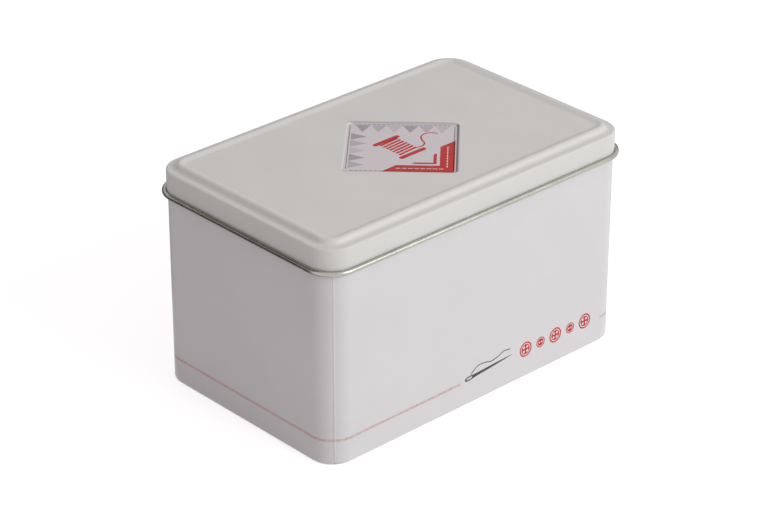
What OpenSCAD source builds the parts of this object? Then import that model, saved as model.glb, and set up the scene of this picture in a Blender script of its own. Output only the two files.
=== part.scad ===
// Bobbin box: a slip-lid tinplate tin that holds lift-out foam layers, each
// with rows of wound bobbins lying flat in die-cut recesses.
// Millimetres, +Z up, origin at the centre of the face that the tin rests on.

/* [Tin body] */
// Outer length of the body, along X
body_l = 175; // [150:1:220]
// Outer width of the body, along Y
body_w = 110.8; // [95:0.1:150]
// Outer radius of the upright corners
corner_r = 11.5; // [9:0.1:16]
// Height of the lid's ledge above the resting face
ledge_z = 103; // [85:1:140]
// Thickness of the tinplate
sheet_t = 0.23; // [0.2:0.01:0.35]
// Outer radius of the bottom edge
foot_r = 1.4; // [1:0.1:2]
// Width of the rolled foot, seen from below
foot_w = 3.2; // [2.8:0.1:5]
// Depth of the bottom panel behind the foot
floor_recess = 3; // [2:0.1:5]
// Diameter of the rim, curled inward
rim_curl_d = 2; // [1.6:0.1:2.6]

/* [Side seam] */
// Angle of the seam from the middle of the near corner, towards the front
seam_angle = 8.5; // [-15:0.5:15]
// Width of the folded seam inside the wall
seam_w = 5; // [3:0.5:7]
// Width of the ridge where the seam shows outside
seam_ridge_w = 0.9; // [0.6:0.1:1.4]
// Height of that ridge above the wall
seam_ridge_h = 0.1; // [0.05:0.01:0.15]

/* [Lid] */
// Running gap between the lid's skirt and the body
lid_gap = 0.3; // [0.25:0.01:0.5]
// Depth of the skirt, from the ledge to the foot of the curl
skirt_h = 11.75; // [8:0.25:20]
// Diameter of the curl along the skirt's edge
lid_curl_d = 2.3; // [1.8:0.1:3]
// Radius of the shoulder between skirt and ledge
shoulder_r = 0.9; // [0.6:0.1:1.5]
// Width of the ledge round the bead
ledge_w = 3.65; // [3:0.05:5]
// Height of the bead above the ledge
bead_h = 2.3; // [1.5:0.1:3]
// Width of the bead's outer slope, up from the ledge
bead_slope_w = 1.4; // [1:0.1:2.5]
// Width of the crest, between its corners
crest_w = 1.55; // [1:0.05:3]
// Width of the slope from the crest down to the top panel
slope_w = 2; // [1.5:0.1:3]
// Height of the top panel above the ledge
panel_h = 1.55; // [0.5:0.05:2]

/* [Pressed diamond] */
// Length of each side, with sharp corners
badge_side = 48.8; // [30:0.1:60]
// Radius of its corners
badge_r = 3; // [2:0.5:8]
// Depth below the top panel
badge_depth = 0.5; // [0.3:0.05:0.8]
// Width of the sloping edge round it
badge_slope_w = 0.5; // [0.3:0.05:1]
// Place of its centre along X
badge_x = 0.4; // [-10:0.1:10]
// Place of its centre along Y
badge_y = -4.2; // [-5:0.1:5]

/* [Foam layers] */
// Number of layers
layers = 4; // [2:1:5]
// Bobbins along X in a layer
cols = 5; // [3:1:5]
// Bobbins along Y in a layer
rows = 3; // [2:1:3]
// Gap between the foam and the rim that it is lifted through
foam_gap = 0.5; // [0.4:0.1:1.5]
// Radius of the foam's corners
foam_r = 14; // [12:0.5:18]
// Foam between a recess and the edge of the sheet
foam_edge = 5; // [3:0.5:8]
// Gap between the top layer and the level of the rim
top_gap = 1.8; // [1:0.1:6]
// Radius of the finger notches in the short ends
notch_r = 8; // [6:0.5:9]

/* [Bobbins] */
// Diameter of the flanges
bobbin_d = 25.4; // [20:0.1:26]
// Height over both flanges
bobbin_h = 11; // [8:0.1:13]
// Diameter of the spindle bore
bore_d = 6.2; // [5.5:0.1:7]
// Wall of the hub tube
hub_t = 0.6; // [0.4:0.1:1.2]
// Thickness of a flange
flange_t = 0.5; // [0.4:0.05:0.8]
// Height of the swaged lip round the bore
lip_h = 0.2; // [0.1:0.05:0.4]
// Diameter of the windows in each flange
window_d = 2.6; // [1.5:0.1:3.5]
// Number of windows in each flange
windows = 6; // [4:1:8]
// How far the wound thread stays below the flange's rim
thread_below = 1.1; // [0.6:0.1:4]
// Gap round a bobbin in its recess
recess_gap = 0.6; // [0.4:0.1:1.2]
// Height of the foam above a bobbin
recess_over = 1; // [0:0.1:3]

/* [Hidden] */
// Air left where one piece rests on another
rest_gap = 0.05;
// Air between the body's rim and the lid's ledge
rim_gap = 0.27;
body_h = ledge_z - sheet_t - rim_gap;
floor_z = floor_recess + sheet_t;
rim_r = rim_curl_d / 2;
curl_r = lid_curl_d / 2;
skirt_x = corner_r + lid_gap + sheet_t;
curl_z = ledge_z - skirt_h + curl_r;
crest_z = ledge_z + bead_h;
panel_z = ledge_z + panel_h;
badge_z = panel_z - badge_depth;
// Bend radii at the foot and the top of the bead's outer slope
bead_foot_r = 0.9;
bead_crest_r = 0.9;
// Bend radii where the crest starts to slope and where the slope meets the panel
slope_top_r = 1.5;
slope_foot_r = 2.5;
// Bend radius of the sloping edge round the pressed diamond
badge_bend_r = 0.4;
// Width of the flat rim that joins the pressed diamond to the top panel
badge_edge_w = 1;
// Where a curl starts, and how far it is rolled, in degrees round its centre
curl_start = 9;
rim_curl_end = 285;
lid_curl_end = 305;
// Sheets on top of each other in the seam's fold
fold_sheets = 3;
// How much less thread there is beside the flanges than at mid height
thread_taper = 0.3;

foam_l = body_l - 2 * (rim_curl_d + foam_gap);
foam_w = body_w - 2 * (rim_curl_d + foam_gap);
layer_pitch = (body_h - top_gap - floor_z) / layers;
recess_d = bobbin_d + 2 * recess_gap;
grid_t = rest_gap + bobbin_h + recess_over;
base_t = layer_pitch - rest_gap - grid_t;
pitch_x = (foam_l - 2 * foam_edge - recess_d) / (cols - 1);
pitch_y = (foam_w - 2 * foam_edge - recess_d) / (rows - 1);

bore_r = bore_d / 2;
hub_r = bore_r + hub_t;
flange_r = bobbin_d / 2;
thread_r = flange_r - thread_below;

TIN_WHITE = [0.85, 0.84, 0.84];
LID_WHITE = [0.82, 0.81, 0.80];
FOAM_GREY = [0.24, 0.24, 0.26];
STEEL = [0.74, 0.74, 0.75];
THREADS = ["firebrick", "steelblue", "goldenrod", "seagreen", "slategray"];

ROW_NAMES = ["a", "b", "c"];
function cell(row, col) = str(ROW_NAMES[row], col + 1);

$fn = 96;

// ---- sheet-metal sections -------------------------------------------------

function unit(from, to) = (to - from) / norm(to - from);
function left_of(direction) = [-direction[1], direction[0]];
function arc(centre, r, from, to, steps) =
    [for (i = [0:steps]) let (a = from + (to - from) * i / steps) centre + r * [cos(a), sin(a)]];

// The arc that rounds the corner p between its neighbours a and b
function bend(a, p, b, r) =
    let (
        to_a = unit(p, a),
        to_b = unit(p, b),
        half = acos(to_a * to_b) / 2,
        centre = p + (to_a + to_b) / norm(to_a + to_b) * r / sin(half),
        first = p + to_a * r / tan(half) - centre,
        last = p + to_b * r / tan(half) - centre,
        start = atan2(first[1], first[0]),
        turn = atan2(last[1], last[0]) - start,
        sweep = turn > 180 ? turn - 360 : turn < -180 ? turn + 360 : turn
    )
    arc(centre, r, start, start + sweep, ceil(abs(sweep) / 9));

// A path from corners [x, y, bend radius], with sharp ends
function bent_path(corners) =
    let (last = len(corners) - 1, p = [for (c = corners) [c[0], c[1]]])
    [for (i = [0:last])
        each i == 0 || i == last ? [p[i]] : bend(p[i - 1], p[i], p[i + 1], corners[i][2])];

function beside(path, i, t) =
    let (
        last = len(path) - 1,
        before = left_of(unit(path[max(i - 1, 0)], path[max(i, 1)])),
        after = left_of(unit(path[min(i, last - 1)], path[min(i + 1, last)]))
    )
    path[i] + t * (before + after) / (1 + before * after);

// The section of a sheet of thickness t that lies to the left of the path,
// or to its right where t is negative
module sheet_section(path, t) {
    polygon(concat(path, [for (i = [len(path) - 1:-1:0]) beside(path, i, t)]));
}

// Sweeps a section round a rounded rectangle. The section's X is measured
// from the upright axis of each corner, and its Y is the height.
module around(l, w, r) {
    for (quarter = [0:3]) {
        side = [[1, 1], [-1, 1], [-1, -1], [1, -1]][quarter];
        run = quarter % 2 == 0 ? w - 2 * r : l - 2 * r;
        translate([side[0] * (l / 2 - r), side[1] * (w / 2 - r), 0])
            rotate([0, 0, 90 * quarter]) {
                rotate_extrude(angle = 90) children();
                rotate([90, 0, 0]) linear_extrude(run) children();
            }
    }
}

module rounded_block(l, w, r, h) {
    translate([-l / 2 + r, -w / 2, 0]) cube([l - 2 * r, w, h]);
    translate([-l / 2, -w / 2 + r, 0]) cube([l, w - 2 * r, h]);
    for (sx = [-1, 1], sy = [-1, 1])
        translate([sx * (l / 2 - r), sy * (w / 2 - r), 0]) cylinder(r = r, h = h);
}

// A flat sheet between the corner axes, with its top at the height z
module middle_plate(l, w, r, z) {
    translate([-l / 2 + r, -w / 2 + r, z - sheet_t]) cube([l - 2 * r, w - 2 * r, sheet_t]);
}

// ---- tin ------------------------------------------------------------------

// Stands at the upright axis of the near corner, and turns X to the seam
module at_seam() {
    translate([-body_l / 2 + corner_r, -body_w / 2 + corner_r, 0])
        rotate([0, 0, 225 + seam_angle]) children();
}

module wall_section() {
    hook_x = corner_r - foot_w;
    path = concat(
        bent_path([
            [hook_x, floor_recess - rest_gap, 0],
            [hook_x, 0, foot_r / 2],
            [corner_r, 0, foot_r],
            [corner_r, body_h - rim_r, 0],
        ]),
        arc([corner_r - rim_r, body_h - rim_r], rim_r, curl_start, rim_curl_end, 30)
    );
    sheet_section(path, sheet_t);
}

// The locked fold behind the wall
module seam_fold() {
    fold_angle = seam_w / corner_r * 180 / PI;
    fold_r = corner_r - sheet_t;
    fold_t = fold_sheets * sheet_t;
    low = floor_z + rest_gap;
    high = body_h - rim_curl_d - 2 * rest_gap;
    at_seam() rotate([0, 0, -fold_angle])
        rotate_extrude(angle = fold_angle)
            translate([fold_r - fold_t, low]) square([fold_t, high - low]);
}

// The rounded ridge that shows outside, below the lid
module seam_ridge() {
    ridge_r = (pow(seam_ridge_w / 2, 2) + pow(seam_ridge_h, 2)) / (2 * seam_ridge_h);
    at_seam() intersection() {
        translate([corner_r + seam_ridge_h - ridge_r, 0, foot_r])
            cylinder(r = ridge_r, h = curl_z - curl_r - rest_gap - foot_r);
        translate([corner_r - sheet_t / 2, -seam_ridge_w, 0])
            cube([sheet_t, 2 * seam_ridge_w, body_h]);
    }
}

// The small gap at the foot where the two ends of the sheet meet
module seam_notch() {
    at_seam() translate([corner_r - sheet_t * 2, -seam_ridge_w / 4, -sheet_t])
        cube([sheet_t * 3, seam_ridge_w / 2, foot_r]);
}

module body_wall() {
    color(TIN_WHITE) difference() {
        union() {
            around(body_l, body_w, corner_r) wall_section();
            seam_fold();
            seam_ridge();
        }
        seam_notch();
    }
}

module bottom_panel() {
    flange_x = corner_r - sheet_t - rest_gap;
    color(TIN_WHITE) {
        around(body_l, body_w, corner_r) sheet_section(
            bent_path([
                [flange_x, foot_r, 0],
                [flange_x, floor_z, foot_r / 2],
                [0, floor_z, 0],
            ]), sheet_t);
        middle_plate(body_l, body_w, corner_r, floor_z);
    }
}

// ---- lid ------------------------------------------------------------------

module lid_section() {
    foot_x = skirt_x - ledge_w;
    wall_x = foot_x - bead_slope_w;
    slope_x = wall_x - crest_w;
    path = concat(
        bent_path([
            [0, panel_z, 0],
            [slope_x - slope_w, panel_z, slope_foot_r],
            [slope_x, crest_z, slope_top_r],
            [wall_x, crest_z, bead_crest_r],
            [foot_x, ledge_z, bead_foot_r],
            [skirt_x, ledge_z, shoulder_r],
            [skirt_x, curl_z, 0],
        ]),
        arc([skirt_x - sheet_t + curl_r, curl_z], curl_r - sheet_t, 180 + curl_start, 180 + lid_curl_end, 30)
    );
    sheet_section(path, -sheet_t);
}

// Turns and moves its children to the pressed diamond
module at_badge() {
    translate([badge_x, badge_y, 0]) rotate([0, 0, 45]) children();
}

// The pressed diamond's floor and its sloping edge
module badge_pan() {
    around(badge_side, badge_side, badge_r) sheet_section(
        bent_path([
            [0, badge_z, 0],
            [badge_r - badge_slope_w / 2, badge_z, badge_bend_r],
            [badge_r + badge_slope_w / 2, panel_z, badge_bend_r],
            [badge_r + badge_edge_w, panel_z, 0],
        ]), -sheet_t);
    middle_plate(badge_side, badge_side, badge_r, badge_z);
}

module lid() {
    hole = badge_side + 2 * badge_edge_w;
    color(LID_WHITE) {
        around(body_l, body_w, corner_r) lid_section();
        difference() {
            middle_plate(body_l, body_w, corner_r, panel_z);
            at_badge() translate([0, 0, panel_z - 2 * sheet_t])
                rounded_block(hole, hole, badge_r + badge_edge_w, 3 * sheet_t);
        }
        at_badge() badge_pan();
    }
}

// ---- foam -----------------------------------------------------------------

function layer_z(n) = floor_z + rest_gap + (n - 1) * layer_pitch;
function seat(row, col) = [(col - (cols - 1) / 2) * pitch_x, (row - (rows - 1) / 2) * pitch_y, 0];

module foam_sheet(z, h) {
    translate([0, 0, z]) difference() {
        rounded_block(foam_l, foam_w, foam_r, h);
        for (end = [-1, 1], side = [-1, 1])
            translate([end * foam_l / 2, side * pitch_y / 2, -1]) cylinder(r = notch_r, h = h + 2);
    }
}

module foam_base(n) {
    color(FOAM_GREY) foam_sheet(layer_z(n), base_t);
}

module foam_grid(n) {
    z = layer_z(n) + base_t;
    color(FOAM_GREY) difference() {
        foam_sheet(z, grid_t);
        for (row = [0:rows - 1], col = [0:cols - 1])
            translate(seat(row, col) + [0, 0, z - 1]) cylinder(d = recess_d, h = grid_t + 2);
    }
}

// ---- bobbins --------------------------------------------------------------

module at_seat(n, row, col) {
    translate(seat(row, col) + [0, 0, layer_z(n) + base_t + rest_gap]) children();
}

// Half of the section, from the middle of the hub up to the lip
module bobbin_profile() {
    half = bobbin_h / 2;
    top = half - lip_h;
    translate([bore_r, 0]) square([hub_t, half]);
    translate([bore_r, top - flange_t]) square([flange_r - bore_r - flange_t / 2, flange_t]);
    translate([flange_r - flange_t / 2, top - flange_t / 2]) circle(d = flange_t);
    translate([bore_r, top]) square([2 * hub_t, lip_h]);
}

module bobbin() {
    translate([0, 0, bobbin_h / 2]) difference() {
        for (flip = [0, 1])
            mirror([0, 0, flip]) rotate_extrude() bobbin_profile();
        for (i = [0:windows - 1])
            rotate([0, 0, 360 / windows * i]) translate([(hub_r + thread_r) / 2, 0, -bobbin_h])
                cylinder(d = window_d, h = 2 * bobbin_h);
    }
}

// Thread wound between the flanges, a little fuller at mid height
module winding() {
    low = lip_h + flange_t + rest_gap;
    high = bobbin_h - low;
    rotate_extrude() polygon([
        [hub_r + rest_gap, low],
        [thread_r - thread_taper, low],
        [thread_r, low + (high - low) / 4],
        [thread_r, high - (high - low) / 4],
        [thread_r - thread_taper, high],
        [hub_r + rest_gap, high],
    ]);
}

module bobbins_layer(n) {
    color(STEEL) for (row = [0:rows - 1], col = [0:cols - 1]) at_seat(n, row, col) bobbin();
}

module threads_layer(n) {
    color(THREADS[n]) for (row = [0:rows - 1], col = [0:cols - 1]) at_seat(n, row, col) winding();
}

module top_bobbin(row, col) {
    color(STEEL) at_seat(layers, row, col) bobbin();
}

module top_thread(row, col) {
    color(THREADS[(row + col) % len(THREADS)]) at_seat(layers, row, col) winding();
}

body_wall();
bottom_panel();
lid();
for (n = [1:layers]) {
    foam_base(n);
    foam_grid(n);
}
for (n = [1:layers - 1]) {
    bobbins_layer(n);
    threads_layer(n);
}
for (row = [0:rows - 1], col = [0:cols - 1]) {
    top_bobbin(row, col);
    top_thread(row, col);
}
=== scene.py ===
import math

import bmesh
import bpy
from mathutils import Matrix, Vector
from mathutils.geometry import delaunay_2d_cdt


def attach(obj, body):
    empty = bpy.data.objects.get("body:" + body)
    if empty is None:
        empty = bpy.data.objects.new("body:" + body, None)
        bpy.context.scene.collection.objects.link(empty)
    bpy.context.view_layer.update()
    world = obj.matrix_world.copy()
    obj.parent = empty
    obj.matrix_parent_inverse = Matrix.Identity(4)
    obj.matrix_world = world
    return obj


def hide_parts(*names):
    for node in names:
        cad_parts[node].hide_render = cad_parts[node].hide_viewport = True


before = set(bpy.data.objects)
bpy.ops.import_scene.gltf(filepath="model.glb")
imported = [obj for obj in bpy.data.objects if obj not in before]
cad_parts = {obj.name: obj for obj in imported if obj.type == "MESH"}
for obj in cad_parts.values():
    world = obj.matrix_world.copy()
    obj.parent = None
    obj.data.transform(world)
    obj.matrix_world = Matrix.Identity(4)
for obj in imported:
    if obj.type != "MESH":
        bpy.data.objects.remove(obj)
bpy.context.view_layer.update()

# Sizes are in millimetres, as in the CAD source, and MM turns them into metres.
# Those of the camera, the studio and the materials' textures are in metres.
MM = 0.001

# Tin
BODY_L, BODY_W, CORNER_R = 175.0, 110.8, 11.5
LEDGE_Z, SHEET_T = 103.0, 0.23
FOOT_R, FOOT_W, FLOOR_RECESS = 1.4, 3.2, 3.0
RIM_R = 1.0
REST_GAP, RIM_GAP = 0.05, 0.27
BODY_H = LEDGE_Z - SHEET_T - RIM_GAP
FLOOR_Z = FLOOR_RECESS + SHEET_T

# Where a curl starts and ends, in degrees round its centre
CURL_START, RIM_CURL_END, LID_CURL_END = 9, 285, 305

# Side seam, SEAM_ANGLE from the middle of the near corner, which is at NEAR_CORNER
NEAR_CORNER, SEAM_ANGLE, SEAM_W, FOLD_SHEETS = 225, 7.0, 5.0, 3
RIDGE_W, RIDGE_H = 0.9, 0.13

# Lid
LID_GAP, SKIRT_H, CURL_R = 0.3, 11.75, 1.15
SHOULDER_R, LEDGE_W, BEAD_H, PANEL_H = 0.9, 4.0, 2.3, 1.3
BEAD_ANGLE, BEAD_FOOT_R, BEAD_CREST_R = 65, 1.8, 1.6
CREST_W, SLOPE_W, SLOPE_TOP_R, SLOPE_FOOT_R = 0.2, 2.2, 1.5, 2.5
SKIRT_X = CORNER_R + LID_GAP + SHEET_T
CURL_Z = LEDGE_Z - SKIRT_H + CURL_R
CREST_Z, PANEL_Z = LEDGE_Z + BEAD_H, LEDGE_Z + PANEL_H

# Pressed diamond, a square on its corner
BADGE_SIDE, BADGE_R, BADGE_DEPTH = 48.8, 3.0, 0.5
BADGE_AT, BADGE_TURN = (0.7, -3.9), 45
BADGE_Z = PANEL_Z - BADGE_DEPTH
BADGE_SLOPE_W, BADGE_BEND_R, BADGE_EDGE = 0.5, 0.4, 1.0
# The enamel with a painted soft shadow round the diamond starts this far inside its edge
RIM_SHADOW_W = 0.6

# Foam layers and bobbins
LAYERS, COLS, ROWS = 4, 5, 3
FOAM_GAP, FOAM_R, FOAM_EDGE, TOP_GAP, NOTCH_R = 0.5, 14.0, 5.0, 1.8, 8.0
FLANGE_R, BOBBIN_H, BORE_R, HUB_T, FLANGE_T, LIP_H = 12.7, 11.0, 3.1, 0.6, 0.5, 0.2
WINDOW_R, WINDOWS = 1.3, 6
THREAD_BELOW, THREAD_TAPER, USED_STEP = 1.1, 0.3, 0.3
RECESS_GAP, RECESS_OVER = 0.6, 1.0
THREAD_R = FLANGE_R - THREAD_BELOW
RECESS_R = FLANGE_R + RECESS_GAP
FOAM_L = BODY_L - 2 * (2 * RIM_R + FOAM_GAP)
FOAM_W = BODY_W - 2 * (2 * RIM_R + FOAM_GAP)
LAYER_PITCH = (BODY_H - TOP_GAP - FLOOR_Z) / LAYERS
GRID_T = REST_GAP + BOBBIN_H + RECESS_OVER
BASE_T = LAYER_PITCH - REST_GAP - GRID_T
PITCH_X = (FOAM_L - 2 * FOAM_EDGE - 2 * RECESS_R) / (COLS - 1)
PITCH_Y = (FOAM_W - 2 * FOAM_EDGE - 2 * RECESS_R) / (ROWS - 1)
HUB_R = BORE_R + HUB_T

# Colours of the wound threads, and the material slots of the three lower layers' threads
YARN_COLOURS = {
    "thread_red": (0.42, 0.020, 0.022),
    "thread_blue": (0.020, 0.070, 0.26),
    "thread_gold": (0.60, 0.31, 0.035),
    "thread_green": (0.022, 0.15, 0.055),
    "thread_cream": (0.74, 0.67, 0.50),
    "thread_plum": (0.13, 0.022, 0.12),
    "thread_grey": (0.12, 0.12, 0.13),
}

# Rounding of cut and pressed edges
STEEL_EDGE, LIP_EDGE, FOLD_EDGE, RIDGE_EDGE = 0.12, 0.1, 0.08, 0.02
BASE_EDGE, GRID_EDGE = 0.5, 0.6

# Prints
PRINT_T = 0.03
# The lid's white is a little yellower than the body's: a painted tint of the warmer light on the top, as
# lid and body share one paint
LID_COLOUR = (0.787, 0.777, 0.748)
LINE_Z, LINE_W = 12.25, 1.2
LINE_END, LINE_START = -11.7, 76.7
BADGE_LIFT, MOTIF_LIFT, STITCH_LIFT = 0.01, 0.04, 0.08

# Steps in a quarter turn, an arc or a circle
CORNER_STEPS, BADGE_STEPS, FOAM_STEPS = 24, 12, 12
RIM_STEPS, LID_STEPS, FOLD_STEPS, RIDGE_STEPS, NOTCH_STEPS = 30, 36, 12, 8, 16
RECESS_STEPS, WINDOW_STEPS, HUB_STEPS, FLANGE_STEPS, THREAD_STEPS = 64, 20, 40, 72, 48

# Studio
AMBIENT = (0.501, 0.470, 0.482)
FLOOR_SIZE, FLOOR_GLOW = 6.0, 0.62
LAMP_AT, LAMP_TARGET, LAMP_SIZE = (0.50, -1.52, 0.87), (0, 0, 0.05), (1.2, 1.0)
LAMP_POWER, LAMP_COLOUR = 13.75, (0.955, 1.0, 0.985)


# ---- camera ----------------------------------------------------------------

CAMERA_AT = Vector((-0.75674, -0.80820, 0.63687))
CAMERA_AZIMUTH, CAMERA_ELEVATION, CAMERA_ROLL = -42.913, 27.958, 0.063
CAMERA_LENS, CAMERA_SENSOR = 132.63, 36.0
IMAGE_WIDTH = 768
HALF_PIXEL = 0.5 / IMAGE_WIDTH


def make_camera():
    a, e, roll = (math.radians(v) for v in (CAMERA_AZIMUTH, CAMERA_ELEVATION, CAMERA_ROLL))
    back = Vector((math.sin(a) * math.cos(e), -math.cos(a) * math.cos(e), math.sin(e)))
    level = Vector((math.cos(a), math.sin(a), 0))
    up = back.cross(level)
    right = level * math.cos(roll) + up * math.sin(roll)
    up = up * math.cos(roll) - level * math.sin(roll)
    camera = bpy.data.objects.new("camera", bpy.data.cameras.new("camera"))
    camera.data.sensor_width = CAMERA_SENSOR
    camera.data.lens = CAMERA_LENS
    camera.data.shift_x, camera.data.shift_y = -HALF_PIXEL, HALF_PIXEL
    camera.data.clip_start, camera.data.clip_end = 0.05, 20
    turn = Matrix((right, up, back)).transposed().to_4x4()
    camera.matrix_world = Matrix.Translation(CAMERA_AT) @ turn
    bpy.context.scene.collection.objects.link(camera)
    bpy.context.scene.camera = camera


# ---- materials -------------------------------------------------------------


class Nodes:
    """A small helper that adds and links the nodes of one material. Its lengths are in metres."""

    def __init__(self, name):
        self.material = bpy.data.materials.new(name)
        self.material.use_nodes = True
        self.tree = self.material.node_tree
        self.shader = self.tree.nodes["Principled BSDF"]
        self.place = self.add("ShaderNodeTexCoord").outputs["Object"]

    def add(self, kind, **settings):
        node = self.tree.nodes.new(kind)
        for key, value in settings.items():
            setattr(node, key, value)
        return node

    def link(self, output, socket):
        self.tree.links.new(output, socket)

    def noise(self, scale, detail=3.0, roughness=0.55, stretch=None):
        node = self.add("ShaderNodeTexNoise")
        node.inputs["Scale"].default_value = scale
        node.inputs["Detail"].default_value = detail
        node.inputs["Roughness"].default_value = roughness
        self.link(self.stretched(stretch), node.inputs["Vector"])
        return node.outputs["Fac"]

    def stretched(self, scale):
        if scale is None:
            return self.place
        node = self.add("ShaderNodeMapping")
        node.inputs["Scale"].default_value = scale
        self.link(self.place, node.inputs["Vector"])
        return node.outputs["Vector"]

    def voronoi(self, scale):
        node = self.add("ShaderNodeTexVoronoi", feature="F1")
        node.inputs["Scale"].default_value = scale
        self.link(self.place, node.inputs["Vector"])
        return node.outputs["Distance"]

    def remap(self, value, low, high, to_low, to_high):
        node = self.add("ShaderNodeMapRange")
        for key, number in zip(("From Min", "From Max", "To Min", "To Max"), (low, high, to_low, to_high)):
            node.inputs[key].default_value = number
        self.link(value, node.inputs["Value"])
        return node.outputs["Result"]

    def blend(self, factor, first, second):
        node = self.add("ShaderNodeMix", data_type="RGBA")
        self.link(factor, node.inputs["Factor"])
        for socket, colour in ((node.inputs["A"], first), (node.inputs["B"], second)):
            if isinstance(colour, tuple):
                socket.default_value = (*colour, 1)
            else:
                self.link(colour, socket)
        return node.outputs["Result"]

    def calculate(self, operation, first, second):
        node = self.add("ShaderNodeMath", operation=operation)
        self.link(first, node.inputs[0])
        self.link(second, node.inputs[1])
        return node.outputs[0]

    def most(self, first, second):
        return self.calculate("MAXIMUM", first, second)

    def times(self, first, second):
        return self.calculate("MULTIPLY", first, second)

    def bump(self, height, strength, distance, under=None):
        node = self.add("ShaderNodeBump")
        node.inputs["Strength"].default_value = strength
        node.inputs["Distance"].default_value = distance
        self.link(height, node.inputs["Height"])
        if under is not None:
            self.link(under, node.inputs["Normal"])
        return node.outputs["Normal"]

    def finish(self, colour=None, rough=None, normal=None, **constants):
        if colour is not None:
            self.link(colour, self.shader.inputs["Base Color"])
        if rough is not None:
            self.link(rough, self.shader.inputs["Roughness"])
        if normal is not None:
            self.link(normal, self.shader.inputs["Normal"])
        for key, value in constants.items():
            self.shader.inputs[key.replace("_", " ")].default_value = value
        return self.material


def enamel(name, light, shade):
    """Satin litho enamel on tinplate: faint mottling, orange peel and very slight waves in the sheet."""
    n = Nodes(name)
    colour = n.blend(n.remap(n.noise(38, 4), 0.35, 0.65, 0, 1), shade, light)
    peel = n.bump(n.noise(1400, 2), 0.10, 0.00005)
    waves = n.bump(n.noise(14, 1.5), 0.10, 0.0005, peel)
    rough = n.remap(n.noise(90, 3), 0.3, 0.7, 0.36, 0.46)
    return n.finish(colour, rough, waves, Specular_IOR_Level=0.35)


def tinplate(name, light, shade, rough):
    """Bare rolled tinplate: warm grey metal with fine marks along the sheet."""
    n = Nodes(name)
    colour = n.blend(n.remap(n.noise(60, 3), 0.35, 0.65, 0, 1), shade, light)
    marks = n.bump(n.noise(900, 2, 0.5, (0.05, 0.05, 2.0)), 0.08, 0.00004)
    polish = n.remap(n.noise(80, 3), 0.3, 0.7, rough - 0.03, rough + 0.04)
    return n.finish(colour, polish, marks, Metallic=1.0)


def ink(name, light, shade):
    n = Nodes(name)
    colour = n.blend(n.remap(n.noise(700, 3), 0.35, 0.65, 0, 1), shade, light)
    rough = n.remap(n.noise(200, 2), 0.3, 0.7, 0.40, 0.52)
    return n.finish(colour, rough, n.bump(n.noise(1400, 2), 0.1, 0.00005), Specular_IOR_Level=0.2)


def twisted_ink(name, light, shade):
    """Ink printed as a twisted thread: short slanting strands in two tones."""
    n = Nodes(name)
    tilt = n.add("ShaderNodeMapping")
    tilt.inputs["Rotation"].default_value = (0, math.radians(35), 0)
    n.link(n.place, tilt.inputs["Vector"])
    n.place = tilt.outputs["Vector"]
    strands = n.noise(900, 2, 0.5, (1.6, 1.6, 0.35))
    rough = n.remap(n.noise(200, 2), 0.3, 0.7, 0.40, 0.52)
    colour = n.blend(n.remap(strands, 0.38, 0.62, 0, 1), shade, light)
    return n.finish(colour, rough, Specular_IOR_Level=0.2)


def rim_painted_shadow(name, light, shade):
    """Enamel round the pressed diamond, with a painted soft shadow towards the front and right."""
    n = Nodes(name)
    turn = n.add("ShaderNodeMapping", vector_type="TEXTURE")
    turn.inputs["Location"].default_value = (BADGE_AT[0] * MM, BADGE_AT[1] * MM, 0)
    turn.inputs["Rotation"].default_value = (0, 0, math.radians(BADGE_TURN))
    n.link(n.place, turn.inputs["Vector"])
    parts = n.add("ShaderNodeSeparateXYZ")
    n.link(turn.outputs["Vector"], parts.inputs["Vector"])
    edge = BADGE_SIDE / 2 * MM
    right = n.remap(parts.outputs["Y"], -edge - 1.0 * MM, -edge - 0.5 * MM, 0, 1)
    inner = n.remap(parts.outputs["Y"], -edge + 0.9 * MM, -edge + 0.3 * MM, 0, 1)
    left = n.remap(parts.outputs["X"], -edge - 0.8 * MM, -edge - 0.3 * MM, 0, 0.55)
    outer = n.remap(parts.outputs["X"], -edge + 0.6 * MM, -edge + 0.1 * MM, 0, 1)
    back = n.remap(parts.outputs["X"], edge - 0.6 * MM, edge - 0.1 * MM, 0, 0.45)
    # how strongly the painted shadow darkens the enamel, along three edges of the diamond
    shadow_amount = n.most(n.most(n.times(right, inner), n.times(left, outer)), back)
    mottle = n.remap(n.noise(38, 4), 0.35, 0.65, 0, 1)
    plain = n.blend(mottle, tuple(0.975 * c for c in light), light)
    rough = n.remap(n.noise(90, 3), 0.3, 0.7, 0.36, 0.46)
    return n.finish(n.blend(shadow_amount, plain, shade), rough, Specular_IOR_Level=0.35)


def foam(name):
    """Closed-cell foam: dark, matt, with fine open cells on the cut faces."""
    n = Nodes(name)
    cells = n.voronoi(1500)
    colour = n.blend(n.remap(cells, 0.1, 0.6, 0, 1), (0.012, 0.012, 0.013), (0.050, 0.050, 0.054))
    pores = n.bump(cells, 0.7, 0.0002)
    soft = n.bump(n.noise(45, 3), 0.4, 0.0005, pores)
    return n.finish(colour, n.remap(n.noise(300, 2), 0.3, 0.7, 0.86, 0.98), soft, Specular_IOR_Level=0.25)


def steel(name):
    """Nickel-plated pressed steel with fine handling marks."""
    n = Nodes(name)
    colour = n.blend(n.remap(n.noise(120, 3), 0.35, 0.65, 0, 1), (0.52, 0.52, 0.525), (0.57, 0.565, 0.56))
    marks = n.bump(n.noise(1500, 2, 0.5), 0.02, 0.00001)
    return n.finish(colour, n.remap(n.noise(400, 3), 0.3, 0.7, 0.26, 0.32), marks, Metallic=1.0)


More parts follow.
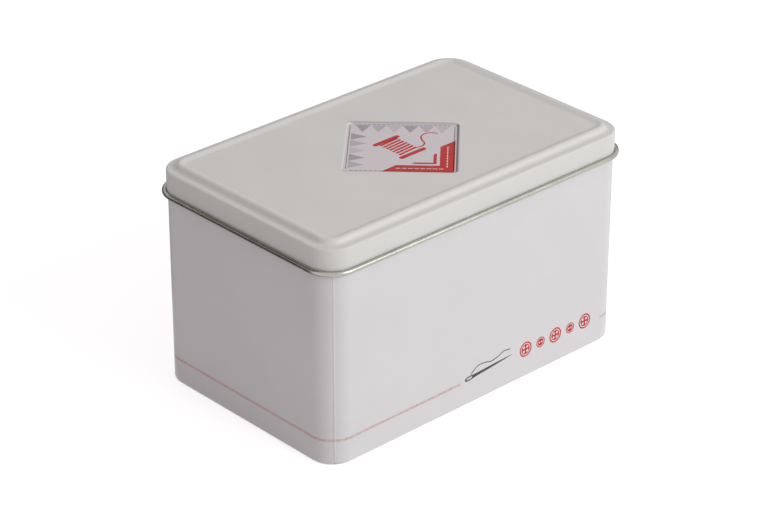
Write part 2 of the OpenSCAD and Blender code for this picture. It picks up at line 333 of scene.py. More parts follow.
def yarn(name, colour):
    """Wound sewing thread: fine strands that lie nearly level, with a soft sheen."""
    n = Nodes(name)
    dark = tuple(c * 0.45 for c in colour)
    strand = n.noise(700, 2, 0.5, (0.25, 0.25, 5.0))
    shade = n.blend(n.remap(strand, 0.3, 0.7, 0, 1), dark, colour)
    rough = n.remap(strand, 0.3, 0.7, 0.75, 0.55)
    return n.finish(shade, rough, n.bump(strand, 0.6, 0.0002), Sheen_Weight=0.25)


# ---- mesh helpers ----------------------------------------------------------


def new_object(name, mesh_data, materials, body, replaced=()):
    piece = bpy.data.objects.new(name, mesh_data)
    bpy.context.scene.collection.objects.link(piece)
    for material in materials:
        mesh_data.materials.append(material)
    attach(piece, body)
    if replaced:
        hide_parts(*replaced)
    return piece


class Builder:
    """Collects faces in millimetres, then makes one smooth-shaded mesh in metres."""

    def __init__(self):
        self.points, self.faces, self.slots = [], [], []

    def add(self, points, faces, slots=0):
        start = len(self.points)
        self.points += [tuple(p) for p in points]
        self.faces += [[start + i for i in f] for f in faces]
        self.slots += slots if isinstance(slots, list) else [slots] * len(faces)

    def mesh(self, name, sharp=40):
        data = bpy.data.meshes.new(name)
        data.from_pydata([[c * MM for c in p] for p in self.points], [], self.faces)
        data.polygons.foreach_set("material_index", self.slots)
        work = bmesh.new()
        work.from_mesh(data)
        bmesh.ops.remove_doubles(work, verts=work.verts, dist=1e-7)
        bmesh.ops.dissolve_degenerate(work, edges=work.edges, dist=1e-8)
        bmesh.ops.recalc_face_normals(work, faces=work.faces)
        work.to_mesh(data)
        work.free()
        data.shade_smooth()
        data.set_sharp_from_angle(angle=math.radians(sharp))
        return data


def weight_normals(piece):
    """Keeps flat faces flat where they run into a rounded edge."""
    modifier = piece.modifiers.new("weighted normals", "WEIGHTED_NORMAL")
    modifier.keep_sharp = True
    modifier.weight = 80


def arc(centre, r, start, end, steps):
    angles = [math.radians(start + (end - start) * i / steps) for i in range(steps + 1)]
    return [Vector((centre[0] + r * math.cos(a), centre[1] + r * math.sin(a))) for a in angles]


def bend(a, p, b, r):
    to_a, to_b = (a - p).normalized(), (b - p).normalized()
    half = math.acos(max(-1, min(1, to_a.dot(to_b)))) / 2
    centre = p + (to_a + to_b).normalized() * (r / math.sin(half))
    first, last = p + to_a * (r / math.tan(half)) - centre, p + to_b * (r / math.tan(half)) - centre
    start = math.degrees(math.atan2(first.y, first.x))
    turn = math.degrees(math.atan2(last.y, last.x)) - start
    sweep = turn - 360 if turn > 180 else turn + 360 if turn < -180 else turn
    return arc(centre, r, start, start + sweep, math.ceil(abs(sweep) / 6))


def bent_path(corners):
    """A path from corners (x, y, bend radius), with sharp ends."""
    points = [Vector(c[:2]) for c in corners]
    path = [points[0]]
    for i in range(1, len(corners) - 1):
        path += bend(points[i - 1], points[i], points[i + 1], corners[i][2])
    return path + [points[-1]]


def left_of(a, b):
    d = (b - a).normalized()
    return Vector((-d.y, d.x))


def beside(path, t):
    """The path moved t to its left, or to its right where t is negative."""
    moved = []
    for i, p in enumerate(path):
        before = left_of(path[max(i - 1, 0)], path[max(i, 1)])
        after = left_of(path[min(i, len(path) - 2)], path[min(i + 1, len(path) - 1)])
        moved.append(p + (before + after) * (t / (1 + before.dot(after))))
    return moved


def ring(x, z, l, w, r, steps=CORNER_STEPS):
    """Points round a rounded rectangle at the distance x from its corner axes."""
    points = []
    for quarter, (sx, sy) in enumerate(((1, 1), (-1, 1), (-1, -1), (1, -1))):
        cx, cy = sx * (l / 2 - r), sy * (w / 2 - r)
        for k in range(steps + 1):
            a = math.radians(90 * (quarter + k / steps))
            points.append((cx + x * math.cos(a), cy + x * math.sin(a), z))
    return points


def around(build, section, slots, l, w, r, steps=CORNER_STEPS, closed=True):
    """Sweeps a section round a rounded rectangle.

    slots has one material index for each side of the section.
    """
    count = 4 * (steps + 1)
    points, faces, marks = [], [], []
    for p in section:
        points += ring(p[0], p[1], l, w, r, steps)
    sides = len(section) if closed else len(section) - 1
    for i in range(sides):
        j = (i + 1) % len(section)
        if section[i][0] < 1e-9 and section[j][0] < 1e-9:
            continue
        for k in range(count):
            n = (k + 1) % count
            faces.append([i * count + k, i * count + n, j * count + n, j * count + k])
            marks.append(slots[i])
    build.add(points, faces, marks)


def sheet_ring(build, path, t, l, w, r, outside=0, inside=1):
    """A bent sheet of thickness t beside the path.

    It has one material on the path's side and one on the other.
    """
    other = beside(path, t)
    section = [*path, *reversed(other)]
    slots = [outside] * (len(path) - 1) + [inside] * (1 + len(other))
    around(build, section, slots, l, w, r)


def fill(build, loops, z, slot=0, up=True):
    """A flat face inside the first loop, outside the others."""
    points, edges, start = [], [], 0
    for loop in loops:
        points += [Vector(p[:2]) for p in loop]
        edges += [(start + i, start + (i + 1) % len(loop)) for i in range(len(loop))]
        start += len(loop)
    verts, _, faces, *_ = delaunay_2d_cdt(points, edges, [], 1, 1e-6)
    holes = [[Vector(p[:2]) for p in loop] for loop in loops[1:]]
    kept = []
    for face in faces:
        middle = sum((verts[i] for i in face), Vector((0, 0))) / len(face)
        if not any(within(middle, hole) for hole in holes):
            kept.append(face if up else face[::-1])
    build.add([(v.x, v.y, z) for v in verts], kept, slot)


def within(point, loop):
    inside = False
    for a, b in zip(loop, loop[1:] + loop[:1]):
        if (a.y > point.y) != (b.y > point.y):
            if point.x < a.x + (point.y - a.y) / (b.y - a.y) * (b.x - a.x):
                inside = not inside
    return inside


def circle(x, y, r, steps):
    return [(x + r * math.cos(2 * math.pi * i / steps), y + r * math.sin(2 * math.pi * i / steps))
            for i in range(steps)]


def offset_loop(loop, d):
    """A closed loop that runs anticlockwise, moved d outwards."""
    moved = []
    for i, p in enumerate(loop):
        a, p, b = Vector(loop[i - 1][:2]), Vector(p[:2]), Vector(loop[(i + 1) % len(loop)][:2])
        before, after = -left_of(a, p), -left_of(p, b)
        moved.append(p + (before + after) * (d / (1 + before.dot(after))))
    return moved


def slab(build, outer, holes, z0, z1, edge, slot=0, rounds=3):
    """A plate between two heights, with rounded edges round its outline and its holes."""
    tops, bottoms = [], []
    for loop, sign in [(outer, -1), *((hole, 1) for hole in holes)]:
        levels = [(0, z0)]
        if edge:
            angles = [math.pi / 2 * i / rounds for i in range(rounds + 1)]
            levels = [(edge * (1 - math.sin(a)), z0 + edge * (1 - math.cos(a))) for a in angles]
        levels += [(inset, z0 + z1 - z) for inset, z in reversed(levels)]
        rings = [[(p.x, p.y, z) for p in offset_loop(loop, sign * inset)] for inset, z in levels]
        count = len(loop)
        faces = [[i * count + k, i * count + n, (i + 1) * count + n, (i + 1) * count + k]
                 for i in range(len(rings) - 1) for k in range(count) for n in [(k + 1) % count]]
        build.add([p for r in rings for p in r], faces, slot)
        bottoms.append(rings[0])
        tops.append(rings[-1])
    fill(build, bottoms, z0, slot, up=False)
    fill(build, tops, z1, slot)


def lathe(build, section, steps, slot, centre):
    """A closed section of (distance, height) turned round an upright axis."""
    points = []
    for k in range(steps):
        a = 2 * math.pi * k / steps
        points += [(centre[0] + x * math.cos(a), centre[1] + x * math.sin(a), centre[2] + z)
                   for x, z in section]
    n = len(section)
    faces = []
    for k in range(steps):
        after = (k + 1) % steps
        for i in range(n):
            j = (i + 1) % n
            faces.append([k * n + i, after * n + i, after * n + j, k * n + j])
    build.add(points, faces, slot)


def turned(loop, angle, at):
    c, s = math.cos(math.radians(angle)), math.sin(math.radians(angle))
    return [(at[0] + c * p[0] - s * p[1], at[1] + s * p[0] + c * p[1]) for p in loop]


def rounded_loop(l, w, r, steps=12):
    return [p[:2] for p in ring(r, 0, l, w, r, steps)]


# ---- tin -------------------------------------------------------------------


def across_ridge(lift):
    """Points over the seam's ridge, raised by lift, seen from above."""
    axis = (-BODY_L / 2 + CORNER_R, -BODY_W / 2 + CORNER_R)
    half = math.degrees(RIDGE_W / 2 / CORNER_R)
    points = []
    for i in range(RIDGE_STEPS + 1):
        share = i / RIDGE_STEPS * 2 - 1
        angle = math.radians(NEAR_CORNER + SEAM_ANGLE + share * half)
        r = CORNER_R + RIDGE_H * math.sqrt(1 - share * share) + lift
        points.append((axis[0] + r * math.cos(angle), axis[1] + r * math.sin(angle)))
    return points


def cut_away(piece, box):
    """Takes a turned box (x, y, z, length, width, height, angle) out of a piece, in mm."""
    x, y, z, l, w, h, angle = box
    outline = [(sx * l / 2, sy * w / 2) for sx, sy in ((-1, -1), (1, -1), (1, 1), (-1, 1))]
    corners = turned(outline, angle, (x, y))
    build = Builder()
    build.add([(*c, z) for c in corners] + [(*c, z + h) for c in corners],
              [[3, 2, 1, 0], [4, 5, 6, 7], [0, 1, 5, 4], [1, 2, 6, 5], [2, 3, 7, 6], [3, 0, 4, 7]])
    cutter = bpy.data.objects.new("cutter", build.mesh("cutter"))
    bpy.context.scene.collection.objects.link(cutter)
    modifier = piece.modifiers.new("cut", "BOOLEAN")
    modifier.object = cutter
    depsgraph = bpy.context.evaluated_depsgraph_get()
    cut = bpy.data.meshes.new_from_object(piece.evaluated_get(depsgraph))
    piece.modifiers.remove(modifier)
    piece.data = cut
    bpy.data.objects.remove(cutter)


def make_body_wall(white, bare):
    hook_x = CORNER_R - FOOT_W
    path = bent_path([
        (hook_x, FLOOR_RECESS - REST_GAP, 0),
        (hook_x, 0, FOOT_R / 2),
        (CORNER_R, 0, FOOT_R),
        (CORNER_R, BODY_H - RIM_R, 0),
    ])
    path += arc((CORNER_R - RIM_R, BODY_H - RIM_R), RIM_R, CURL_START, RIM_CURL_END, RIM_STEPS)
    build = Builder()
    sheet_ring(build, path, SHEET_T, BODY_L, BODY_W, CORNER_R)
    wall = new_object("tin_body_wall", build.mesh("tin_body_wall"), [white, bare], "tin_body",
                      ["body_wall"])
    # the small gap where the two ends of the sheet meet at the foot
    axis = (-BODY_L / 2 + CORNER_R, -BODY_W / 2 + CORNER_R)
    seam = NEAR_CORNER + SEAM_ANGLE
    x, y = arc(axis, CORNER_R, seam, seam, 1)[0]
    cut_away(wall, (x, y, -SHEET_T, 4 * SHEET_T, RIDGE_W / 2, FOOT_R, seam))
    weight_normals(wall)

    # the locked fold inside, and the ridge that shows outside
    build = Builder()
    fold = math.degrees(SEAM_W / CORNER_R)
    low, high = FLOOR_Z + REST_GAP, BODY_H - 2 * RIM_R - 2 * REST_GAP
    outer_r, inner_r = CORNER_R - SHEET_T, CORNER_R - (1 + FOLD_SHEETS) * SHEET_T
    loop = [(p.x, p.y) for p in arc(axis, outer_r, seam - fold, seam, FOLD_STEPS)]
    loop += [(p.x, p.y) for p in arc(axis, inner_r, seam, seam - fold, FOLD_STEPS)]
    slab(build, loop, [], low, high, FOLD_EDGE, 1)
    loop = across_ridge(0) + across_ridge(-SHEET_T)[::-1]
    slab(build, loop, [], FOOT_R, CURL_Z - CURL_R - REST_GAP, RIDGE_EDGE, 0)
    new_object("tin_side_seam", build.mesh("tin_side_seam"), [white, bare], "tin_body")


def make_bottom_panel(bare):
    flange_x = CORNER_R - SHEET_T - REST_GAP
    path = bent_path([(flange_x, FOOT_R, 0), (flange_x, FLOOR_Z, FOOT_R / 2), (0, FLOOR_Z, 0)])
    build = Builder()
    sheet_ring(build, path, SHEET_T, BODY_L, BODY_W, CORNER_R, 0, 0)
    corners = rounded_loop(BODY_L - 2 * CORNER_R, BODY_W - 2 * CORNER_R, 0, 1)[::2]
    for z, up in ((FLOOR_Z, True), (FLOOR_Z - SHEET_T, False)):
        fill(build, [corners], z, 0, up)
    panel = new_object("tin_bottom_panel", build.mesh("tin_bottom_panel"), [bare], "tin_body",
                       ["bottom_panel"])
    weight_normals(panel)


def make_lid(white, bare, rim):
    foot_x = SKIRT_X - LEDGE_W
    steepness = math.radians(BEAD_ANGLE)
    wall_x = foot_x - BEAD_H / math.tan(steepness)
    slope = math.atan2(BEAD_H - PANEL_H, SLOPE_W)
    bends = BEAD_CREST_R * math.tan(steepness / 2) + SLOPE_TOP_R * math.tan(slope / 2)
    slope_x = wall_x - CREST_W - bends
    path = bent_path([
        (0, PANEL_Z, 0),
        (slope_x - SLOPE_W, PANEL_Z, SLOPE_FOOT_R),
        (slope_x, CREST_Z, SLOPE_TOP_R),
        (wall_x, CREST_Z, BEAD_CREST_R),
        (foot_x, LEDGE_Z, BEAD_FOOT_R),
        (SKIRT_X, LEDGE_Z, SHOULDER_R),
        (SKIRT_X, CURL_Z, 0),
    ])
    start, end = 180 + CURL_START, 180 + LID_CURL_END
    path += arc((SKIRT_X - SHEET_T + CURL_R, CURL_Z), CURL_R - SHEET_T, start, end, LID_STEPS)
    build = Builder()
    sheet_ring(build, path, -SHEET_T, BODY_L, BODY_W, CORNER_R)
    middle = rounded_loop(BODY_L - 2 * CORNER_R, BODY_W - 2 * CORNER_R, 0, 1)[::2]
    side = BADGE_SIDE + 2 * BADGE_EDGE
    hole = turned(rounded_loop(side, side, BADGE_R + BADGE_EDGE), BADGE_TURN, BADGE_AT)
    fill(build, [middle, hole], PANEL_Z, 0)
    fill(build, [middle, hole], PANEL_Z - SHEET_T, 1, up=False)

    pan = Builder()
    path = bent_path([
        (0, BADGE_Z, 0),
        (BADGE_R - BADGE_SLOPE_W / 2, BADGE_Z, BADGE_BEND_R),
        (BADGE_R + BADGE_SLOPE_W / 2, PANEL_Z, BADGE_BEND_R),
        (BADGE_R + BADGE_EDGE, PANEL_Z, 0),
    ])
    other = beside(path, -SHEET_T)
    # slot 2, on the diamond's slope and the flat just round it, is enamel with a painted soft shadow
    marks = [2 if a.x > BADGE_R - RIM_SHADOW_W else 0 for a in path]
    around(pan, path, marks, BADGE_SIDE, BADGE_SIDE, BADGE_R, BADGE_STEPS, closed=False)
    around(pan, other, [1] * len(other), BADGE_SIDE, BADGE_SIDE, BADGE_R, BADGE_STEPS, closed=False)
    floor = rounded_loop(BADGE_SIDE - 2 * BADGE_R, BADGE_SIDE - 2 * BADGE_R, 0, 1)[::2]
    fill(pan, [floor], BADGE_Z, 0)
    fill(pan, [floor], BADGE_Z - SHEET_T, 1, up=False)
    points = [(*turned([p], BADGE_TURN, BADGE_AT)[0], p[2]) for p in pan.points]
    build.add(points, pan.faces, pan.slots)
    lid = new_object("tin_lid", build.mesh("tin_lid"), [white, bare, rim], "lid", ["lid"])
    weight_normals(lid)


# ---- foam and bobbins ------------------------------------------------------


def foam_outline():
    """Rounded rectangle with two half-round finger notches in each short end."""
    loop = []
    for quarter, (sx, sy) in enumerate(((1, 1), (-1, 1), (-1, -1), (1, -1))):
        centre = (sx * (FOAM_L / 2 - FOAM_R), sy * (FOAM_W / 2 - FOAM_R))
        loop += [(p.x, p.y) for p in arc(centre, FOAM_R, 90 * quarter, 90 * quarter + 90, FOAM_STEPS)]
        if quarter in (1, 3):
            for side in (1, -1) if quarter == 1 else (-1, 1):
                start = 90 if sx < 0 else 270
                notch = (sx * FOAM_L / 2, side * PITCH_Y / 2)
                loop += [(p.x, p.y) for p in arc(notch, NOTCH_R, start, start - 180, NOTCH_STEPS)]
    return loop


def layer_z(n):
    return FLOOR_Z + REST_GAP + (n - 1) * LAYER_PITCH


def seats():
    return [((col - (COLS - 1) / 2) * PITCH_X, (row - (ROWS - 1) / 2) * PITCH_Y)
            for row in range(ROWS) for col in range(COLS)]


def make_foam(n, material):
    outline = foam_outline()
    build = Builder()
    slab(build, outline, [], layer_z(n), layer_z(n) + BASE_T, BASE_EDGE)
    base = new_object(f"foam_base_sheet_{n}", build.mesh(f"foam_base_sheet_{n}", 60), [material],
                      f"foam_layer_{n}", [f"foam_base_{n}"])
    build = Builder()
    z = layer_z(n) + BASE_T
    recesses = [circle(x, y, RECESS_R, RECESS_STEPS) for x, y in seats()]
    slab(build, outline, recesses, z, z + GRID_T, GRID_EDGE)
    grid = new_object(f"foam_grid_sheet_{n}", build.mesh(f"foam_grid_sheet_{n}", 60), [material],
                      f"foam_layer_{n}", [f"foam_grid_{n}"])
    for piece in (base, grid):
        weight_normals(piece)


def bobbin(build, at, slot=0):
    """Two pressed flanges with windows, swaged on a hub tube."""
    x, y, z = at
    centres = circle(x, y, (HUB_R + THREAD_R) / 2, WINDOWS)
    windows = [circle(*centre, WINDOW_R, WINDOW_STEPS) for centre in centres]
    hub = circle(x, y, HUB_R, HUB_STEPS)
    rim = circle(x, y, FLANGE_R, FLANGE_STEPS)
    top = BOBBIN_H - LIP_H
    slab(build, rim, [hub, *windows], z + LIP_H, z + LIP_H + FLANGE_T, STEEL_EDGE, slot, 2)
    slab(build, rim, [hub, *windows], z + top - FLANGE_T, z + top, STEEL_EDGE, slot, 2)
    lip_x = BORE_R + 2 * HUB_T
    section = [
        (BORE_R, LIP_EDGE), (BORE_R + LIP_EDGE, 0), (lip_x - LIP_EDGE, 0), (lip_x, LIP_H), (HUB_R, LIP_H),
        (HUB_R, top), (lip_x, top), (lip_x - LIP_EDGE, BOBBIN_H), (BORE_R + LIP_EDGE, BOBBIN_H),
        (BORE_R, BOBBIN_H - LIP_EDGE),
    ]
    lathe(build, section, HUB_STEPS, slot, at)


def winding(build, at, used, slot=0):
    """Thread wound between the flanges, in level ridges, a little fuller at mid height.

    used is how much of its radius has been sewn away.
    """
    low = LIP_H + FLANGE_T + REST_GAP
    high = BOBBIN_H - low
    ridges, ridge_h = 16, 0.06
    steps = ridges * 4
    section = [(HUB_R + REST_GAP, high), (HUB_R + REST_GAP, low)]
    for i in range(steps + 1):
        share = i / steps
        swell = THREAD_TAPER * math.sin(math.pi * share) - THREAD_TAPER
        ridge = ridge_h * math.sin(2 * math.pi * ridges * share)
        section.append((THREAD_R - used + swell + ridge - ridge_h, low + (high - low) * share))
    lathe(build, section, THREAD_STEPS, slot, at)


def make_bobbins(metal, yarns):
    for n in range(1, LAYERS):
        z = layer_z(n) + BASE_T + REST_GAP
        build, wound = Builder(), Builder()
        for i, (x, y) in enumerate(seats()):
            bobbin(build, (x, y, z))
            winding(wound, (x, y, z), USED_STEP * ((i * 5 + n) % 4), (i * 3 + n) % len(yarns))
        steel_pieces = new_object(f"steel_bobbins_{n}", build.mesh(f"steel_bobbins_{n}"), [metal],
                                  f"bobbins_{n}", [f"bobbins_layer_{n}"])
        weight_normals(steel_pieces)
        new_object(f"wound_threads_{n}", wound.mesh(f"wound_threads_{n}"), yarns,
                   f"bobbins_{n}", [f"threads_layer_{n}"])
    z = layer_z(LAYERS) + BASE_T + REST_GAP
    for i, (x, y) in enumerate(seats()):
        name = "abc"[i // COLS] + str(i % COLS + 1)
        build, wound = Builder(), Builder()
        bobbin(build, (x, y, z))
        winding(wound, (x, y, z), USED_STEP * ((i * 5) % 4))
        steel_piece = new_object(f"steel_bobbin_{name}", build.mesh(f"steel_bobbin_{name}"), [metal],
                                 f"bobbins_{LAYERS}", [f"bobbin_{name}"])
        weight_normals(steel_piece)
        pick = i * 3 % len(yarns)
        new_object(f"wound_thread_{name}", wound.mesh(f"wound_thread_{name}"), [yarns[pick]],
                   f"bobbins_{LAYERS}", [f"thread_{name}"])


# ---- prints ----------------------------------------------------------------


def on_front(x, y, h):
    """From a drawing on the front face, x along it and y upwards, raised by h."""
    return (x, -BODY_W / 2 - h, y)


def on_badge(x, y, h):
    return (BADGE_AT[0] + x, BADGE_AT[1] + y, BADGE_Z + h)


def print_shapes(name, shapes, place, material, body, lift=0.0):
    """Thin printed shapes, drawn in the plane of place.

    Each is an outline with its holes, all anticlockwise.
    """
    build = Builder()
    for outer, *holes in shapes:
        flat = Builder()
        slab(flat, outer, holes, lift, lift + PRINT_T, 0)
        build.add([place(*p) for p in flat.points], flat.faces)
    new_object(name, build.mesh(name), [material], body)


def anticlockwise(loop):
    area = sum(a[0] * b[1] - b[0] * a[1] for a, b in zip(loop, loop[1:] + loop[:1]))
    return loop if area > 0 else loop[::-1]


def dash(start, end, width):
    """A dash with round ends."""
    (x0, y0), (x1, y1) = start, end
    angle = math.degrees(math.atan2(y1 - y0, x1 - x0))
    loop = arc((x1, y1), width / 2, angle - 90, angle + 90, 6)
    loop += arc((x0, y0), width / 2, angle + 90, angle + 270, 6)
    return [(p.x, p.y) for p in loop]


def stitches(start, end, count, width, fill_share=0.6):
    """A row of dashes that shares the way from start to end."""
    a, b = Vector(start), Vector(end)
    margin = (1 - fill_share) / 2
    return [[dash(a.lerp(b, (i + margin) / count), a.lerp(b, (i + 1 - margin) / count), width)]
            for i in range(count)]


def smooth(points, steps=6):
    """A rounded path through the points."""
    path = []
    for i in range(len(points) - 1):
        p0, p1, p2, p3 = (Vector(points[max(0, min(len(points) - 1, i + k))]) for k in (-1, 0, 1, 2))
        for k in range(steps):
            t = k / steps
            path.append(0.5 * (2 * p1 + (p2 - p0) * t + (2 * p0 - 5 * p1 + 4 * p2 - p3) * t * t
                               + (3 * p1 - p0 - 3 * p2 + p3) * t ** 3))
    return path + [Vector(points[-1])]


def ribbon(points, width):
    """A band of even width along a path."""
    path = [Vector(p) for p in points]
    return [anticlockwise([(p.x, p.y) for p in beside(path, width / 2) + beside(path, -width / 2)[::-1]])]


def bar(x, y, l, w, r):
    """A rounded bar with its middle at (x, y)."""
    return [[[(x + px, y + py) for px, py in rounded_loop(l, w, r, 6)]]]


def button(x, y, r, holes):
    """A button with a turned rim and two or four holes."""
    rim, face, hole, spread = (r * share for share in (0.82, 0.68, 0.19, 0.28))
    spots = [(-1, 0), (1, 0)] if holes == 2 else [(-1, -1), (1, -1), (-1, 1), (1, 1)]
    at = [circle(x + sx * spread, y + sy * spread, hole, 14) for sx, sy in spots]
    return [[circle(x, y, r, 44), circle(x, y, rim, 40)], [circle(x, y, face, 40), *at]]


def make_thread_line(material):
    """The thin printed line round the foot of the body, open where the front's motifs are."""
    build = Builder()
    low, high = LINE_Z - LINE_W / 2, LINE_Z + LINE_W / 2
    count = 4 * (CORNER_STEPS + 1)
    section = [(CORNER_R, low), (CORNER_R + PRINT_T, low), (CORNER_R + PRINT_T, high), (CORNER_R, high)]
    points = [p for x, z in section for p in ring(x, z, BODY_L, BODY_W, CORNER_R)]
    front = 3 * (CORNER_STEPS + 1) - 1
    faces = []
    # the front side is left out here, and drawn below as two bars
    for k in range(count):
        if k != front:
            n = (k + 1) % count
            faces += [[i * count + k, i * count + n, j * count + n, j * count + k]
                      for i, j in ((0, 1), (1, 2), (2, 3), (3, 0))]
    build.add(points, faces)
    corner_x = BODY_L / 2 - CORNER_R
    for x0, x1 in ((-corner_x, LINE_END), (LINE_START, corner_x)):
        flat = Builder()
        slab(flat, [(x0, low), (x1, low), (x1, high), (x0, high)], [], 0, PRINT_T, 0)
        build.add([on_front(*p) for p in flat.points], flat.faces)
    slab(build, across_ridge(PRINT_T) + across_ridge(0)[::-1], [], low, high, 0)
    new_object("print_thread_line", build.mesh("print_thread_line"), [material], "tin_body")


def make_front_prints(dark, red):
    """A threaded needle, then a row of buttons in two sizes."""
    at, tilt = (0, LINE_Z + 1.3), 4
    half = [(-9.2, 0), (-8.8, 0.75), (-7.6, 1.1), (-5.6, 1.1), (-3.0, 0.8), (8, 0.55), (16, 0.3), (20.6, 0)]
    outline = half + [(x, -y) for x, y in half[-2:0:-1]]
    eye_start, eye_end, eye_r = -7.6, -5.2, 0.45
    eye = arc((eye_end, 0), eye_r, -90, 90, 6) + arc((eye_start, 0), eye_r, 90, 270, 6)
    thread_w = 0.45
    thread = [(-5.6, 14.5), (-3.6, 16.2), (-0.6, 17.6), (3.2, 17.4),
              (7.0, 16.6), (10.8, 17.2), (14.6, 18.6), (18.6, 18.2)]
    needle = [[turned(anticlockwise(outline), tilt, at), turned(eye, tilt, at)],
              ribbon(smooth(thread), thread_w)]
    print_shapes("print_needle", needle, on_front, dark, "tin_body")
    first_x, row_y, step = 28.4, 14.2, 9.4
    big_r, small_r = 3.7, 2.6
    shapes = []
    x = first_x
    for i in range(5):
        shapes += button(x, row_y, small_r, 2) if i % 2 else button(x, row_y, big_r, 4)
        x += step
    print_shapes("print_buttons", shapes, on_front, red, "tin_body")


def make_badge_prints(ground, greys, dark, red, pale):
    """A stitched patch: grey flying geese at the top, red chevrons in the foot and a spool between."""
    def patch(name, shapes, material, lift):
        print_shapes(name, shapes, on_badge, material, "lid", lift)

    def tilted(shapes):
        return [[anticlockwise(turned(loop, BADGE_TURN, (0, 0))) for loop in shape] for shape in shapes]

    half, margin = BADGE_SIDE / 2, 0.45
    side = BADGE_SIDE - 2 * margin
    field = rounded_loop(side, side, BADGE_R - margin, 8)
    patch("print_patch_ground", tilted([[field]]), ground, BADGE_LIFT)
    # geese, drawn with x up to the right and y up to the left
    outer, inner, wing, gap = half - 2.2, half - 9.2, 3.5, 0.3
    for tone, material in enumerate(greys):
        geese = []
        for i in range(6):
            q = wing * (2 * i - 5)
            if i % 3 == tone:
                geese.append([[(outer, q - wing), (outer, q + wing - gap), (inner, q)]])
            if i < 5 and (i + 1) % 3 == tone:
                geese.append([[(q - wing + gap, outer), (q + wing, outer), (q, inner)]])
        patch(f"print_geese_{tone + 1}", tilted(geese), material, MOTIF_LIFT)
    # chevrons
    foot, reach = -half + 0.9, 1.5
    band = []
    for near, far in ((0, 6.4), (7.8, 9.2)):
        a, b = foot + near, foot + far
        end = reach - near
        band.append([[(a, a), (end + b - a, a), (end, b), (b, b), (b, end), (a, end + b - a)]])
    patch("print_chevrons", tilted(band), red, MOTIF_LIFT)
    line, first, last = foot + 3.2, foot + 4.4, reach + 0.4
    rows = stitches((line, first), (line, last), 8, 0.5)
    rows += stitches((first, line), (last, line), 8, 0.5)
    patch("print_chevron_stitches", tilted(rows), pale, STITCH_LIFT)
    # spool: two ends, seven slanting turns of thread and its loose tail
    end_l, end_w, end_r = 15, 2.4, 0.9
    spool = bar(0, 9.4, end_l, end_w, end_r) + bar(0, -7.4, end_l, end_w, end_r)
    x, turn_w, slant, step = 5.4, 1.2, 0.7, 2.0
    for i in range(7):
        low = -5.25 + step * i
        high = low + turn_w
        spool.append([[(-x, low), (x, low + slant), (x, high + slant), (-x, high)]])
    tail = [(5.2, -4.4), (8.2, -4.9), (10.8, -3.4), (12.2, -0.2),
            (14.4, 2.4), (17.4, 3.2), (20.2, 2.0), (21.6, -0.4)]
    tail_w = 0.7
    spool.append(ribbon(smooth(tail), tail_w))
    patch("print_spool", spool, red, MOTIF_LIFT)
    # border stitches, inside the edge
    row, clear, count, stitch_w = half - 1.35, 0.03, 21, 0.42
    corners = [Vector(c) for c in ((-row, -row), (row, -row), (row, row), (-row, row))]
    border = []
    for a, b in zip(corners, corners[1:] + corners[:1]):
        border += stitches(a.lerp(b, clear), a.lerp(b, 1 - clear), count, stitch_w)
    patch("print_border_stitches", tilted(border), dark, MOTIF_LIFT)


# ---- stage -----------------------------------------------------------------


def white_rays(tree):
    """1 for the rays that see plain white surroundings: from the camera, reflected and let through."""
    rays = tree.nodes.new("ShaderNodeLightPath")
    value = rays.outputs["Is Camera Ray"]
    for other in ("Is Glossy Ray", "Is Transmission Ray"):
        most = tree.nodes.new("ShaderNodeMath")
        most.operation = "MAXIMUM"
        tree.links.new(value, most.inputs[0])
        tree.links.new(rays.outputs[other], most.inputs[1])
        value = most.outputs[0]
    return value


def make_world(ambient):
    """White where it is seen, and a dimmer, even light on the object."""
    world = bpy.data.worlds.new("studio")
    bpy.context.scene.world = world
    world.use_nodes = True
    tree = world.node_tree
    background = tree.nodes["Background"]
    colour = tree.nodes.new("ShaderNodeMix")
    colour.data_type = "RGBA"
    colour.inputs["A"].default_value = (*ambient, 1)
    colour.inputs["B"].default_value = (1, 1, 1, 1)
    tree.links.new(white_rays(tree), colour.inputs["Factor"])
    tree.links.new(colour.outputs["Result"], background.inputs["Color"])


def make_floor(size, glow):
    """A white floor, with a glow that only the white_rays see."""
    data = bpy.data.meshes.new("floor")
    corners = [(-size, -size, 0), (size, -size, 0), (size, size, 0), (-size, size, 0)]
    data.from_pydata(corners, [], [(0, 1, 2, 3)])
    floor = bpy.data.objects.new("floor", data)
    bpy.context.scene.collection.objects.link(floor)
    material = bpy.data.materials.new("floor_white")
    material.use_nodes = True
    tree = material.node_tree
    shader = tree.nodes["Principled BSDF"]
    shader.inputs["Base Color"].default_value = (0.8, 0.8, 0.8, 1)
    shader.inputs["Roughness"].default_value = 0.9
    shader.inputs["Specular IOR Level"].default_value = 0.0
    shader.inputs["Emission Color"].default_value = (1, 1, 1, 1)
    gain = tree.nodes.new("ShaderNodeMath")
    gain.operation = "MULTIPLY"
    gain.inputs[1].default_value = glow
    tree.links.new(white_rays(tree), gain.inputs[0])
    tree.links.new(gain.outputs[0], shader.inputs["Emission Strength"])
    data.materials.append(material)


def make_light(name, at, target, size, power, colour):
    data = bpy.data.lights.new(name, "AREA")
    data.shape = "RECTANGLE"
    data.size, data.size_y = size
    data.energy = power
    data.color = colour
    light = bpy.data.objects.new(name, data)
    bpy.context.scene.collection.objects.link(light)
    light.location = at
    direction = Vector(target) - Vector(at)
    light.rotation_mode = "QUATERNION"
    light.rotation_quaternion = direction.to_track_quat("-Z", "Y")


def card_grey(name, grey):
    material = bpy.data.materials.new(name)
    material.use_nodes = True
    shader = material.node_tree.nodes["Principled BSDF"]
    shader.inputs["Base Color"].default_value = (*grey, 1)
    shader.inputs["Roughness"].default_value = 0.9
    return material


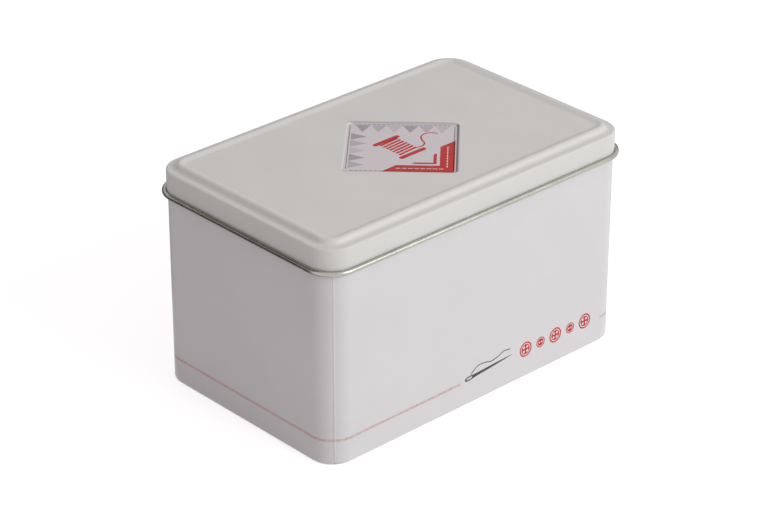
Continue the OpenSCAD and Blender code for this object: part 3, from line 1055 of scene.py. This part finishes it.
def make_card(name, points, faces, material):
    """A card that is seen only in reflections."""
    data = bpy.data.meshes.new(name)
    data.from_pydata(points, [], faces)
    data.materials.append(material)
    card = bpy.data.objects.new(name, data)
    bpy.context.scene.collection.objects.link(card)
    card.visible_camera = card.visible_diffuse = card.visible_shadow = card.visible_transmission = False


def make_dark_cards():
    """Walls beside and behind the tin, taller ones over a slit, and grey strips on the floor at its left
    foot, which paint the floor's shadow there for reflections.
    """
    dark = card_grey("card_dark", (0.10, 0.085, 0.07))
    middle = card_grey("card_middle", (0.35, 0.34, 0.33))
    left, near, back, right, inner = -0.165, -0.02, 0.12, 0.165, -0.06
    top, slit_top, tall = 0.130, 0.160, 0.6
    walls = [
        ([(left, near), (left, back)], 0, top, dark),
        ([(left, back), (right, back)], 0, top, middle),
        ([(right, back), (right, near)], 0, top, dark),
        ([(left, near), (left, back), (inner, back)], slit_top, tall, dark),
    ]
    for line, low, high, material in walls:
        n = len(line)
        points = [(x, y, z) for z in (low, high) for x, y in line]
        faces = [(i, i + 1, n + i + 1, n + i) for i in range(n - 1)]
        make_card("dark_card", points, faces, material)
    # the strips are a painted shadow on the floor by the left foot, darkest nearest the tin, and only
    # reflections see them
    foot, step, front, low = -0.0885, -0.110, -0.05, 0.0002
    for start, end, grey in ((foot, step, 0.25), (step, left, 0.70)):
        points = [(end, front, low), (start, front, low), (start, back, low), (end, back, low)]
        material = card_grey("shadow_strip_grey", (grey, 0.98 * grey, 0.97 * grey))
        make_card("foot_shadow_strip", points, [(0, 1, 2, 3)], material)


def make_stage():
    bpy.context.scene.view_settings.view_transform = "Standard"
    make_world(AMBIENT)
    make_floor(FLOOR_SIZE, FLOOR_GLOW)
    make_light("key_softbox", LAMP_AT, LAMP_TARGET, LAMP_SIZE, LAMP_POWER, LAMP_COLOUR)
    make_dark_cards()


# ---- build -----------------------------------------------------------------

make_camera()
make_stage()
body_white = enamel("body_enamel", (0.785, 0.77, 0.775), (0.765, 0.75, 0.755))
lid_white = enamel("lid_enamel", LID_COLOUR, tuple(0.975 * c for c in LID_COLOUR))
# The bare tin's colour is darker than tinplate's own, a painted dimming of the surroundings that it
# reflects
bare_tin = tinplate("bare_tinplate", (0.46, 0.455, 0.415), (0.375, 0.37, 0.33), 0.26)
make_body_wall(body_white, bare_tin)
make_bottom_panel(bare_tin)
# the dark colour is that of the painted shadow round the pressed diamond
make_lid(lid_white, bare_tin, rim_painted_shadow("rim_enamel_painted_shadow", LID_COLOUR, (0.27, 0.235, 0.24)))
foam_dark = foam("charcoal_foam")
for number in range(1, LAYERS + 1):
    make_foam(number, foam_dark)
make_bobbins(steel("nickel_steel"), [yarn(name, colour) for name, colour in YARN_COLOURS.items()])
red = ink("red_ink", (0.62, 0.030, 0.026), (0.55, 0.026, 0.023))
dark = ink("dark_ink", (0.10, 0.095, 0.10), (0.07, 0.066, 0.07))
make_thread_line(twisted_ink("line_ink", (0.755, 0.60, 0.595), (0.635, 0.445, 0.44)))
make_front_prints(dark, red)
greys = [ink(f"grey_ink_{i + 1}", tone, tuple(0.96 * c for c in tone))
         for i, tone in enumerate(((0.66, 0.60, 0.63), (0.55, 0.51, 0.56), (0.44, 0.405, 0.45)))]
make_badge_prints(ink("patch_ink", (0.78, 0.735, 0.755), (0.76, 0.715, 0.735)), greys,
                  ink("stitch_ink", (0.24, 0.20, 0.22), (0.20, 0.17, 0.185)), red,
                  ink("pale_ink", (0.82, 0.80, 0.79), (0.79, 0.77, 0.76)))
